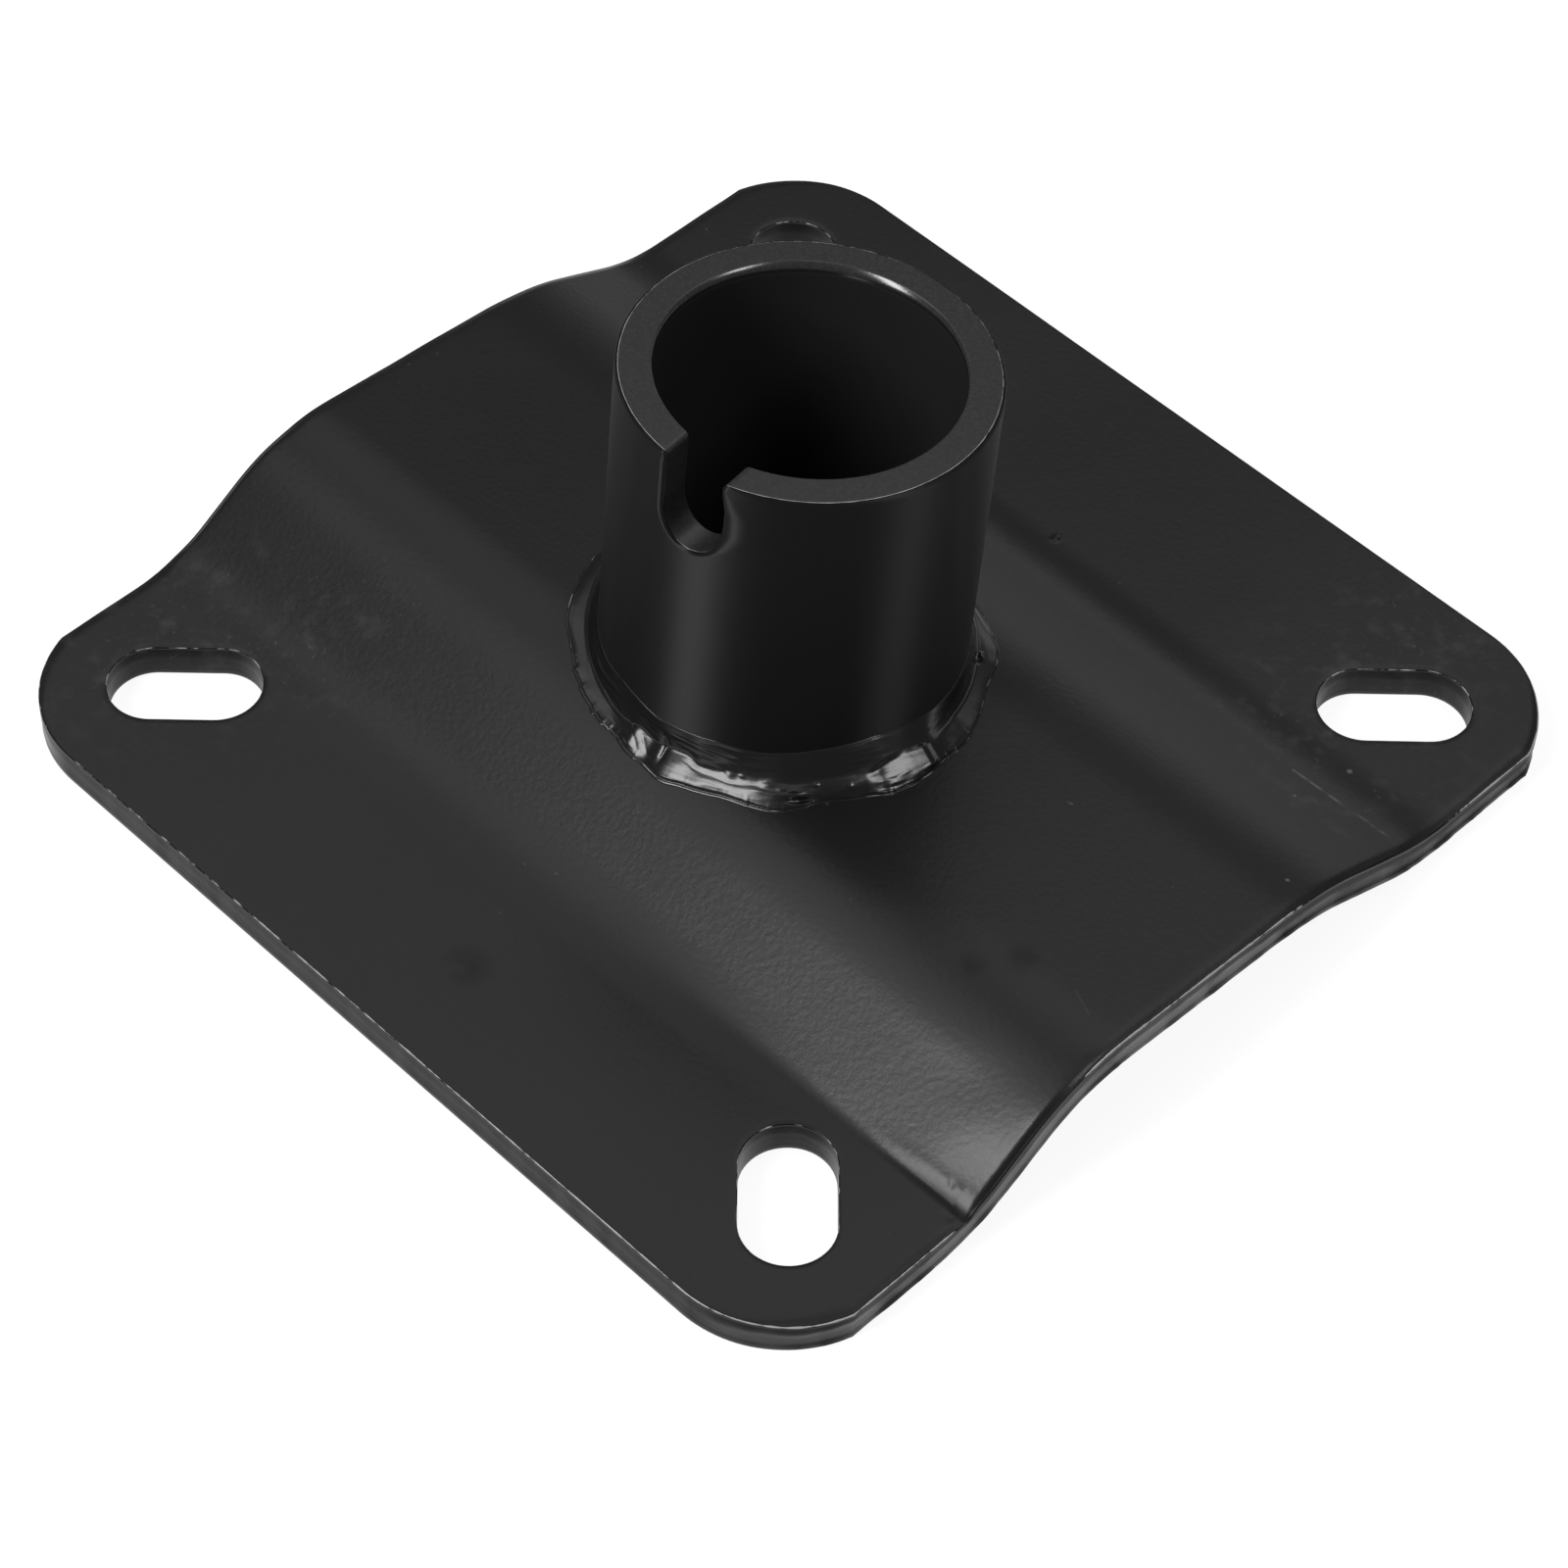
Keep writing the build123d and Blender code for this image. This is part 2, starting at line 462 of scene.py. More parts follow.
def outer_rings(points, normals):
    """The blank's edge, which differs along the two walls that follow the bends."""
    x, y = points.T
    right = x > 0
    side = ease(np.abs(normals[:, 0]), 0.35, 0.95)
    # Where the plate climbs, where it rolls over deeper, and where the arris gets less of its painted
    # highlight
    climbing = ease(np.abs(plate_top(y + 0.5) - plate_top(y - 0.5)), 0.15, 0.35)
    fold = 0.8 * right * bump_at(y - 38.5, 5.0)
    steep = 2.2 * ease(y, -54, -47) * (1 - ease(y, -38, -22))
    crest = right * bump_at(y - 40, 14)
    return edge_rings(
        points,
        roll_width=0.9 + (2.1 - 1.0 * climbing) * side,
        roll_drop=0.07 + (0.55 + 0.35 * fold + 0.30 * steep) * side,
        arris=0.34 + 0.10 * side,
        torn_depth=0.05 + 0.22 * side,
        burr=0.10 + 0.42 * side,
        dullness_and_shade=BLANK_DULLNESS_AND_SHADE,
        # On the two walls that follow the bends the pale arris is a painted highlight: bright on the flats,
        # left out where the plate climbs and near the crest
        wear_and_highlight=0.48 + 0.22 * ease(x, -80, 40) + (0.03 - 0.60 * climbing - 1.2 * crest) * side,
        evenness=ease(np.abs(normals[:, 1]), 0.93, 1.0),
        # Painted shade: the +X wall is dulled all the way down towards +Y, so that it reads dark
        painted_wall_shade=0.85 * ease(y, 0, 32) * (normals[:, 0] > 0.3),
    )


def slot_rings(points):
    """The edge of a punched slot."""
    same = np.ones(len(points))
    return edge_rings(
        points,
        roll_width=1.5 * same,
        roll_drop=0.22 * same,
        arris=0.28 * same,
        torn_depth=0.10 * same,
        burr=0.06 * same,
        # The slot walls are dulled most at the top, partly as painted shade
        dullness_and_shade=SLOT_DULLNESS_AND_SHADE,
        wear_and_highlight=0.51,
    )


def plate_grid():
    """Points over the plate's faces, closer together at the bends, the crease and the spatter."""
    half_x, half_y = PLATE_LENGTH / 2, PLATE_WIDTH / 2 + 0.5
    xs = grid_rows(-half_x, half_x, FINE_X, coarse=2.4, fine=1.0)
    ys = grid_rows(-half_y, half_y, FINE_Y, coarse=2.4, fine=0.9)
    grid = np.array([(x, y) for y in ys for x in xs])
    crease = [((x, CREASE_Y + 1.0), 3.1, 0.4) for x in (61.8, 67.9, 74.0, 80.1, 86.2)]
    for centre, radius, step in [(SPATTER, 1.8, 0.2)] + crease:
        near = np.abs(grid - centre).max(1) < radius + 0.3
        grid = np.concatenate([grid[~near], fine_patch(centre, radius, step)])
    room = np.minimum(blank_depth(grid), slot_clearance(grid))
    return grid[room > FACE_INSET + 0.5]


def make_plate():
    """The plate, with its edge and its four slots as the loops of a thick sheet."""
    points, normals = blank_outline()
    loops = [(points, normals, True, outer_rings(points, normals))]
    for centre, turn in slot_places():
        points, normals = slot_outline(centre, turn)
        loops.append((points, normals, True, slot_rings(points)))
    plate = thick_sheet("plate_pressed", loops, plate_grid(), plate_place)
    close_up(plate)
    return plate


# Socket tube, made as a flat sheet and rolled up, with its seam behind the notch
MEAN_RADIUS = (TUBE_RADIUS + BORE_RADIUS) / 2
SEAM = math.pi * MEAN_RADIUS
TUBE_INSET = 2.2          # where the walls start, in from the rim and the foot
NOTCH_CORNER = 0.9
NOTCH_CENTRE_Z = TUBE_HEIGHT - NOTCH_DEPTH + NOTCH_WIDTH / 2    # of its half-round floor
RIM_POINTS = 160          # each side of the notch
CORNER_STEPS = 5
WALL_STEPS = 15
FLOOR_STEPS = 24
FOOT_POINTS = 180
GRID_COLUMNS = 145
GRID_ROWS = 34


def notch_arc(q):
    """Distance round the tube, at its mean radius, for a distance q from the notch's middle plane."""
    return MEAN_RADIUS * np.arcsin(np.clip(q / MEAN_RADIUS, -1, 1))


def rim_outline():
    """The rim from seam to seam, down and up round the key notch, with outward normals."""
    half, corner = NOTCH_WIDTH / 2, NOTCH_CORNER
    side_s = notch_arc(half)
    left = [((s, TUBE_HEIGHT), (0.0, 1.0)) for s in np.linspace(-SEAM, -side_s - corner, RIM_POINTS)]
    for k in range(1, CORNER_STEPS + 1):
        a = math.pi / 2 * k / CORNER_STEPS
        out = (math.sin(a), math.cos(a))
        left.append(((-side_s - corner + corner * out[0], TUBE_HEIGHT - corner + corner * out[1]), out))
    for z in np.linspace(TUBE_HEIGHT - corner, NOTCH_CENTRE_Z, WALL_STEPS + 1)[1:]:
        left.append(((-side_s, z), (1.0, 0.0)))
    floor = []
    for k in range(1, FLOOR_STEPS):
        a = math.pi * k / FLOOR_STEPS
        place = (notch_arc(-half * math.cos(a)), NOTCH_CENTRE_Z - half * math.sin(a))
        floor.append((place, (math.cos(a), math.sin(a))))
    right = [((-s, z), (-out_s, out_z)) for (s, z), (out_s, out_z) in reversed(left)]
    points, normals = zip(*(left + floor + right))
    return np.array(points), np.array(normals)


# Soft edges beside the notch, right and left of it: breadth and depth
ROLLS = ((4.5, 1.6), (1.3, 0.8))

# The flared mouth of the bore at the back: distance below the rim's face, and out from the bore
FLARE = (
    (0.0, 1.05), (0.13, 0.90), (0.36, 0.66), (0.65, 0.44),
    (0.98, 0.26), (1.35, 0.12), (1.75, 0.03), (2.05, 0.0),
)

# How bare the rim's outer round is, from the tube's wall to the rim's face
RIM_WEAR = (0.0, 0.0, 0.0, 0.0, 0.0, 0.0, 0.0, 0.35, 0.95)


def rim_rings(points, normals):
    """Rings over the rim and the notch: soft outer round, bare line, face and flared mouth."""
    zero = np.zeros(len(points))
    wall = TUBE_RADIUS - BORE_RADIUS
    s, z = points.T
    bearing = NOTCH_BEARING + s / MEAN_RADIUS
    side = np.abs(normals[:, 0])
    beside = np.abs(s) - notch_arc(NOTCH_WIDTH / 2)
    from_corner = np.maximum(beside, TUBE_HEIGHT - z) - NOTCH_CORNER
    rolled = side * ease(z, 42, 50)
    roll_width = np.where(s > 0, ROLLS[0][0], ROLLS[1][0])
    roll_depth = np.where(s > 0, ROLLS[0][1], ROLLS[1][1])
    reach = TUBE_INSET + (roll_width + 0.3 - TUBE_INSET) * rolled
    reach = np.minimum(reach, 0.8 + (0.45 + 0.35 * rolled) * np.maximum(from_corner, 0))
    outer = 0.55 + 0.25 * bump_at(angle_from(bearing, -20), 0.8)
    outer = np.minimum(outer, 0.9 * reach)
    across = outer + (np.minimum(roll_width, 0.9 * reach) - outer) * rolled
    inward = outer + (np.maximum(outer, roll_depth * across / roll_width) - outer) * rolled
    front = 0.50 + 0.50 * bump_at(angle_from(bearing, -80), 2.2)
    rings = [(reach, zero, zero)]
    for k, share in enumerate(RIM_WEAR):
        a = math.pi / 2 * k / (len(RIM_WEAR) - 1)
        bare = share * front * (1 - 0.7 * side)
        rings.append((across * (1 - math.sin(a)), inward * (1 - math.cos(a)) / wall, zero + bare, zero))
    edge = inward / wall
    mouth = 0.25 + 0.75 * bump_at(angle_from(bearing, 134), 1.35) * (1 - side)
    mouth = np.minimum(mouth, 0.9 * reach / FLARE[-1][0])
    face = 1 - mouth * FLARE[0][1] / wall
    for t in (0.03, 0.3, 0.5, 0.7, 0.97):
        rings.append((zero, edge + (face - edge) * t, zero, zero + 0.5))
    for below, out in FLARE:
        rings.append((mouth * below, 1 - mouth * out / wall, zero))
    rings.append((reach, zero + 1, zero))
    return rings


def foot_rings(points):
    """Rings over the tube's square foot, which the weld hides."""
    zero = np.zeros(len(points))
    rows = ((TUBE_INSET, 0), (0, 0), (0, 0.5), (0, 1), (TUBE_INSET, 1))
    return [(zero + inset, zero + share, zero) for inset, share in rows]


def tube_place(p, share):
    """Points of the unrolled tube at a share of its wall in from the outside."""
    radius = TUBE_RADIUS - (TUBE_RADIUS - BORE_RADIUS) * share
    middle = p[:, 0] / MEAN_RADIUS
    q = MEAN_RADIUS * np.sin(middle)
    near = 1 - ease(np.abs(middle), 0.35, 1.0)
    bent = np.arcsin(np.clip(q / radius, -1, 1))
    bearing = NOTCH_BEARING + middle + (bent - middle) * near
    return from_seat(radius * np.cos(bearing), radius * np.sin(bearing), p[:, 1])


def from_seat(x, y, z):
    """Points measured from the tube's foot, put into the plate's frame."""
    return SEAT + np.outer(x, SEAT_X) + np.outer(y, SEAT_Y) + np.outer(z, SEAT_UP)


def notch_clearance(p):
    """How far points of the unrolled tube lie from the notch."""
    middle = np.clip(p[:, 0] / MEAN_RADIUS, -math.pi / 2, math.pi / 2)
    below = np.minimum(p[:, 1] - NOTCH_CENTRE_Z, 0)
    return np.hypot(MEAN_RADIUS * np.sin(middle), below) - NOTCH_WIDTH / 2


def make_tube():
    """The tube, with its rim and its foot as the loops of a thick sheet."""
    points, normals = rim_outline()
    rim = (points, normals, False, rim_rings(points, normals))
    foot_points = np.stack([np.linspace(-SEAM, SEAM, FOOT_POINTS), np.zeros(FOOT_POINTS)], 1)
    foot_normals = np.tile([0.0, -1.0], (FOOT_POINTS, 1))
    foot = (foot_points, foot_normals, False, foot_rings(foot_points))
    xs = np.linspace(-SEAM, SEAM, GRID_COLUMNS)
    zs = np.linspace(0, TUBE_HEIGHT, GRID_ROWS)[1:-1]
    grid = np.array([(x, z) for z in zs for x in xs])
    clear = notch_clearance(grid)
    room = np.minimum(clear, TUBE_HEIGHT - grid[:, 1])
    beside = (grid[:, 1] > TUBE_HEIGHT - NOTCH_DEPTH - 2) & (clear < 7)
    grid = grid[room > np.where(beside, ROLLS[0][0] + 0.7, TUBE_INSET + 0.4)]
    tube = thick_sheet("tube_socket", [rim, foot], grid, tube_place)
    close_up(tube)
    return tube


# Weld bead: steps round it and down its section, radii along it and the bearings of the steps round it
AROUND = 1080
ACROSS = 52
BEAD_RADIUS = 33.0
FACET_RADIUS = 34.0
BEARINGS = np.linspace(-180, 180, AROUND, endpoint=False)
TURN = np.radians(BEARINGS)

# The section has three corners, measured from the tube's foot: one on the tube's wall, one where the steep
# shoulder turns into the flatter face, and one on the lip. Each table row starts with a bearing
CLIMBS = (
    (-150, 4.2), (-126, 3.9), (-115, 3.95), (-104, 4.85), (-97, 4.7), (-89, 4.05), (-86, 3.9), (-80, 4.3),
    (-73, 4.6), (-65, 5.0), (-53, 4.7), (-48, 4.95), (-42, 5.3), (-35, 5.8), (-17, 6.5), (-6, 5.85),
    (10, 5.0), (60, 4.6), (120, 5.4), (180, 4.8),
)
BENDS = (
    (-160, 32.0, 0.7), (-138, 31.8, 0.4), (-126, 31.6, -0.3), (-116, 31.4, -1.0), (-104, 31.1, -1.4),
    (-94, 30.85, -0.6), (-89, 30.6, -0.3), (-82, 30.95, -0.2), (-73.5, 30.7, 0.55), (-71, 31.3, 0.15),
    (-69.5, 31.75, -0.1), (-63, 31.8, 0.5), (-58, 32.25, 0.85), (-54, 32.8, 1.1), (-46, 33.0, 2.0),
    (-34, 33.0, 2.4), (-20, 33.5, 2.55), (-16, 33.05, 3.3), (-10, 32.8, 3.35), (-5.5, 32.7, 3.15),
    (0.5, 33.0, 2.4), (6, 32.4, 1.5), (14, 31.6, 0.7), (40, 31.4, 0.5), (60, 31.8, 0.0), (90, 32.0, 0.0),
    (120, 32.0, 0.6), (150, 32.2, 1.2),
)
TOES = (
    (-160, 34.8), (-138, 34.8), (-132, 34.1), (-127, 33.8), (-118, 33.9), (-108, 33.6), (-96, 33.0),
    (-92, 33.4), (-84, 33.8), (-78, 34.5), (-72, 34.1), (-60, 34.4), (-55, 35.2), (-50, 36.1), (-46, 36.7),
    (-41, 36.3), (-35, 35.2), (-29, 35.5), (-22, 35.9), (-18, 36.7), (-10, 36.5), (-1, 35.7), (3, 35.2),
    (8, 35.9), (14, 35.1), (25, 34.1), (32, 33.7), (39, 34.5), (46, 34.9), (58, 34.2), (90, 34.6),
    (120, 35.1), (150, 35.0),
)


def round_table(rows, column, blur=1.5):
    """Smooth values of a column between the rows' bearings, all the way round."""
    rows = np.array(sorted(rows), float)
    b = np.concatenate([rows[:, 0] - 360, rows[:, 0], rows[:, 0] + 360])
    v = np.tile(rows[:, column], 3)
    return sum(np.interp(BEARINGS + shift * blur, b, v) for shift in (-1, -0.5, 0, 0.5, 1)) / 5


def over(low, high, blur):
    """1 between two bearings in degrees, 0 elsewhere, with soft ends."""
    middle, half = (low + high) / 2, (high - low) / 2
    away = np.abs((BEARINGS - middle + 180) % 360 - 180)
    return 1 - ease(away, half - blur / 2, half + blur / 2)


def under_weld(r):
    """Height of the plate's upper face over the plane of the tube's foot, all the way round."""
    y = r * np.sin(TURN)
    return plate_top(SEAT[1] + y * math.cos(RAKE)) - (SEAT[2] - y * math.sin(RAKE))


# Folds along the bead: (bearing, distance down the section) points that each runs through, height, breadth
FOLDS = (
    (((-84, 1.9), (-81, 3.7), (-81.0, 7.6)), -0.30, 0.40),
    (((-91, 4.8), (-86, 6.8), (-83, 8.0)), -0.10, 0.35),
    (((-98, 4.6), (-92, 6.4), (-88, 7.8)), -0.10, 0.35),
    (((-84, 0.9), (-74, 1.2), (-64, 1.2), (-55, 1.5)), 0.11, 0.22),
    (((-83, 1.6), (-73, 2.0), (-62, 2.3)), 0.12, 0.24),
    (((-80, 2.6), (-72, 3.1), (-62, 3.2)), 0.10, 0.24),
    (((-76, 5.2), (-68, 6.0), (-60, 5.9), (-52, 5.2)), -0.12, 0.30),
    (((-54, 5.6), (-47, 6.4), (-40, 6.0)), 0.10, 0.35),
    (((4.0, 4.6), (2.6, 6.2), (1.6, 7.8)), -0.08, 0.45),
    (((-22, 6.9), (-15, 7.2), (-9, 6.6)), 0.14, 0.40),
    (((-126, 2.2), (-112, 2.8), (-98, 2.6)), 0.10, 0.30),
    (((-150, 3.0), (-132, 4.0), (-112, 4.9), (-100, 5.0)), -0.10, 0.30),
    (((14, 3.0), (30, 3.2), (48, 2.8)), 0.06, 0.30),
)

# Flat patches in the face: from one bearing to another, and the bearing that all of it faces
PATCHES = ((-94, -84.5, -79), (-20, -2.0, -21))

# Small hollows and lumps: bearing, distance down the section, length along the bead, breadth, height
LUMPS = (
    (-40, 7.4, 1.5, 0.38, -0.75),
    (-42, 6.5, 1.3, 0.40, 0.26),
    (-60, 4.6, 0.9, 0.50, 0.14),
    (-56.5, 4.2, 0.5, 0.35, 0.08),
    (-36, 5.3, 0.3, 0.3, 0.16),
    (-27, 6.4, 0.3, 0.3, 0.12),
    (-49, 4.9, 1.3, 0.6, 0.14),
    (-45, 5.4, 0.8, 0.5, 0.12),
    (-15, 7.9, 1.6, 0.6, 0.18),
    (41, 4.7, 0.9, 0.7, -0.80),
    (43, 5.2, 0.35, 0.35, 0.35),
)

# Rows that close the lip: distance out from it, and share of its height
LIP_ROWS = ((0.07, 0.75), (0.05, 0.35), (-0.02, 0.05))

# Rows of the line of paint on the plate: distance out from the lip, share of its height, share of its wear
PAINT_ROWS = ((0.14, 0.5, 0.2), (0.24, 1.0, 1.0), (0.34, 0.7, 0.4), (0.45, 0.0, 0.0), (0.52, -1.2, 0.0))


def fold_height(w, points, height, breadth):
    """Height of a sharp fold along a line of points, tapered at its ends."""
    s = TURN * BEAD_RADIUS
    ends = [np.array([np.radians(bearing) * BEAD_RADIUS, down]) for bearing, down in points]
    nearest, at = np.full(np.shape(w), 1e9), np.zeros(np.shape(w))
    passed = 0.0
    for start, end in zip(ends, ends[1:]):
        run, drop = end - start
        length = math.hypot(run, drop)
        t = np.clip(((s - start[0]) * run + (w - start[1]) * drop) / length ** 2, 0, 1)
        away = np.hypot(s - start[0] - t * run, w - start[1] - t * drop)
        at = np.where(away < nearest, passed + t * length, at)
        nearest = np.minimum(nearest, away)
        passed += length
    share = at / passed
    taper = ease(share, 0.0, 0.25) * (1 - ease(share, 0.75, 1.0))
    return height * (0.15 + 0.85 * taper) * np.exp(-np.sqrt(nearest ** 2 + 0.006) / breadth)


def bead_section(corners, w):
    """Radius and height at a distance down the section, with its bend rounded."""
    (r0, z0), (r1, z1), (r2, z2) = corners
    first, second = np.hypot(r1 - r0, z1 - z0), np.hypot(r2 - r1, z2 - z1)
    soft = np.minimum(0.6, np.minimum(w, first + second - w))
    r = z = 0.0
    for t in (-1, -0.5, 0, 0.5, 1):
        a = np.clip((w + t * soft) / first, 0, 1)
        b = np.clip((w + t * soft - first) / second, 0, 1)
        r = r + (r0 + (r1 - r0) * a + (r2 - r1) * b) / 5
        z = z + (z0 + (z1 - z0) * a + (z2 - z1) * b) / 5
    return r, z


def bead_noise(scale, w, stretch, seed):
    """Noise with waves of 1 / scale round the bead and 1 / stretch down its section."""
    circle = np.stack([np.cos(TURN), np.sin(TURN)], 1) * BEAD_RADIUS
    return noise_at(np.column_stack([circle * scale, np.zeros(AROUND) + w * stretch]), 1.0, seed)


def facet_swell(slope):
    """How far the flat patches stand out of the round face, so that all of each faces one bearing."""
    flat = np.zeros(AROUND)
    for low, high, facing in PATCHES:
        off = np.clip(angle_from(TURN, facing), -0.6, 0.6)
        middle = math.radians((low + high) / 2 - facing)
        share = over(low, high, 4.5)
        flat += share * FACET_RADIUS * (math.cos(middle) / np.cos(off) - 1) * np.sin(slope)
    return flat


def bead_swell(w, first, total, flat, calm):
    """How far the bead stands out of its section, at distances w down it."""
    swell = 0.11 * bead_noise(0.09, w, 0.28, 1.0) + 0.05 * bead_noise(0.20, w, 0.9, 7.0)
    swell = (swell + 0.022 * bead_noise(0.30, w, 2.2, 11.0)) * calm
    swell = swell + flat * ease(w, first - 0.6, first + 0.4)
    swell = swell + 0.10 * np.sin(np.pi * np.clip((w - first) / (total - first), 0, 1))
    for points, height, breadth in FOLDS:
        swell = swell + fold_height(w, points, height, breadth)
    for bearing, place, length, breadth, height in LUMPS:
        away = np.hypot(np.radians(BEARINGS - bearing) * BEAD_RADIUS / length, (w - place) / breadth)
        swell = swell + height * bump_at(away, 1.0)
    return swell


def bead_face(jag):
    """Radii and heights of the bead's rows, from the tube's wall down to the ragged lip."""
    ragged = 0.35 + 0.65 * over(-125, -74, 10) + 0.45 * over(0, 16, 6)
    calm = 1 - 0.6 * over(4, 170, 12) - 0.5 * over(-170, -108, 12) - 0.35 * over(-21, 1, 4)
    spike = np.clip(bead_noise(1.0, 0, 0, 8.0), 0.15, 1) - 0.15
    toe = round_table(TOES, 1)
    outer = toe + (0.20 * jag + 0.6 * spike - 0.05) * ragged
    lip = 0.24 + 0.38 * over(-82, -50, 8) + 0.22 * over(-22, 10, 6) + 0.10 * jag * ragged
    climb = round_table(CLIMBS, 1) + 0.05 * bead_noise(0.25, 0, 0, 6.0)
    bend = round_table(BENDS, 1), round_table(BENDS, 2)
    corners = ((TUBE_RADIUS + 0.1, climb), bend, (toe, under_weld(toe) + lip))
    first, second = (np.hypot(b[0] - a[0], b[1] - a[1]) for a, b in zip(corners, corners[1:]))
    total = first + second
    flat = facet_swell(np.arctan2(bend[1] - corners[2][1], toe - bend[0]))

    shares = np.linspace(0, 1, ACROSS)
    sections = [bead_section(corners, total * v) for v in shares]
    radii = np.array([section[0] for section in sections])
    heights = np.array([section[1] for section in sections])
    fall_r, fall_z = np.gradient(radii, axis=0), np.gradient(heights, axis=0)
    size = np.hypot(fall_r, fall_z)
    for row, v in enumerate(shares):
        swell = bead_swell(total * v, first, total, flat, calm)
        swell = swell * ease(v, 0.0, 0.08) * (1 - 0.6 * ease(v, 0.92, 1.0))
        edge = (outer - toe) * ease(v, 0.82, 1.0)
        shift = under_weld(toe + edge) - under_weld(toe)
        radii[row] += edge - swell * fall_z[row] / size[row]
        heights[row] += shift + swell * fall_r[row] / size[row]
        heights[row] = np.maximum(heights[row], under_weld(radii[row]) + 0.12)
    return radii, heights


def make_weld():
    """The bead: steep shoulder, folded face, ragged lip and a paint line on the plate."""
    jag = bead_noise(0.40, 0, 0, 5.0)
    radii, heights = bead_face(jag)
    rows, wear = [], []

    def add_row(r, height, worn=0.0):
        r = np.zeros(AROUND) + r
        rows.append(from_seat(r * np.cos(TURN), r * np.sin(TURN), height))
        wear.append(np.zeros(AROUND) + worn)

    add_row(TUBE_RADIUS - 0.3, heights[0] + 0.10)
    add_row(TUBE_RADIUS + 0.05, heights[0] + 0.05)
    for row in range(ACROSS):
        add_row(radii[row], heights[row], 0.25 if row > ACROSS - 3 else 0.0)
    end_r, end_lip = radii[-1], heights[-1] - under_weld(radii[-1])
    for step_out, share_up in LIP_ROWS:
        add_row(end_r + step_out, under_weld(end_r + step_out) + end_lip * share_up)
    bead = 0.07 + 0.05 * jag
    bared = np.clip(0.35 + 0.9 * bead_noise(0.35, 0, 0, 21.0), 0.0, 0.9)
    for step_out, share_up, worn in PAINT_ROWS:
        add_row(end_r + step_out, under_weld(end_r + step_out) + bead * share_up, worn * bared)
    add_row(end_r - 1.2, under_weld(end_r - 1.2) - 0.6)
    add_row(TUBE_RADIUS - 0.6, np.minimum(under_weld(TUBE_RADIUS - 0.6), 0) - 0.3)
    faces = []
    for k in range(len(rows)):
        above = np.arange(AROUND) + k * AROUND
        below = np.arange(AROUND) + ((k + 1) % len(rows)) * AROUND
        join_rings(faces, above, below, True)
    wear = np.concatenate(wear)
    weld = make_mesh("weld_ring", np.concatenate(rows), faces, wear, np.zeros_like(wear))
    close_up(weld)
    return weld


# Materials
def empty_material(name):
    """A material and its node tree, with no nodes."""
    made = bpy.data.materials.new(name)
    made.use_nodes = True
    made.node_tree.nodes.clear()
    return made, made.node_tree


def node(tree, kind, inputs=(), **settings):
    """A shader node with its settings, whose inputs are values or other nodes' outputs."""
    made = tree.nodes.new("ShaderNode" + kind)
    for key, value in settings.items():
        setattr(made, key, value)
    for key, value in dict(inputs).items():
        if isinstance(value, bpy.types.NodeSocket):
            tree.links.new(value, made.inputs[key])
        else:
            made.inputs[key].default_value = value
    return made


def ramp(tree, value, low, high, start=0.0, end=1.0):
    """A smooth change from start, below low, to end, above high."""
    limits = {"Value": value, "From Min": low, "From Max": high, "To Min": start, "To Max": end}
    return node(tree, "MapRange", limits, interpolation_type="SMOOTHSTEP").outputs["Result"]


def mixed(tree, share, a, b):
    """a where the share is 0, b where it is 1."""
    return node(tree, "Mix", {0: share, 2: a, 3: b}, data_type="FLOAT").outputs[0]


def maths(tree, operation, a, b):
    return node(tree, "Math", {0: a, 1: b}, operation=operation).outputs[0]


def times(tree, a, b):
    return maths(tree, "MULTIPLY", a, b)


def vectors(tree, operation, a, b):
    """A vector node, with a tuple or an output as each of its two vectors."""
    return node(tree, "VectorMath", {0: a, 1: b}, operation=operation)


def cloud(tree, place, scale, detail):
    """Noise with a mean of about a half."""
    inputs = {"Vector": place, "Scale": scale, "Detail": detail}
    return node(tree, "TexNoise", inputs).outputs["Fac"]


def near_point(tree, place, centre, radius):
    """1 at a point in millimetres, falling to 0 at a radius in millimetres."""
    away = vectors(tree, "DISTANCE", place, tuple(c * MM for c in centre)).outputs["Value"]
    return ramp(tree, away, 0.15 * radius * MM, radius * MM, 1.0, 0.0)


def near_line(tree, place, start, end, width):
    """1 on the line between two points in millimetres, falling to 0 half a width away."""
    start, end = Vector(start) * MM, Vector(end) * MM
    along = end - start
    offset = vectors(tree, "SUBTRACT", place, tuple(start)).outputs[0]
    share = vectors(tree, "DOT_PRODUCT", offset, tuple(along / along.length_squared)).outputs["Value"]
    share = node(tree, "Clamp", {"Value": share}).outputs[0]
    inputs = {0: tuple(along), "Scale": share}
    nearest = node(tree, "VectorMath", inputs, operation="SCALE").outputs[0]
    away = vectors(tree, "DISTANCE", offset, nearest).outputs["Value"]
    return ramp(tree, away, 0.15 * width * MM, 0.5 * width * MM, 1.0, 0.0)


def highest(tree, values):
    top = values[0]
    for value in values[1:]:
        top = maths(tree, "MAXIMUM", top, value)
    return top


# Marks on the plate, in millimetres: dusty areas, pale flecks and dull smudges, each a centre and a radius
DUSTY = (((-80, -66, 7), 34), ((-60, -48, 12), 24), ((66, 62, 7), 34), ((62, 84, 7), 26), ((78, 44, 9), 14))
FLECKS = (
    ((74.4, 53.6, 6.6), 0.7), ((73.6, 40.3, 10.8), 0.5),
    ((87.0, 22.4, 17.0), 0.5), ((57.2, -52.6, 8.2), 0.35),
)
SMUDGES = (((70.8, -20.9, 20.6), 5.0), ((66.1, -26.8, 20.3), 4.0), ((4.7, -75.9, 6.4), 7.0))

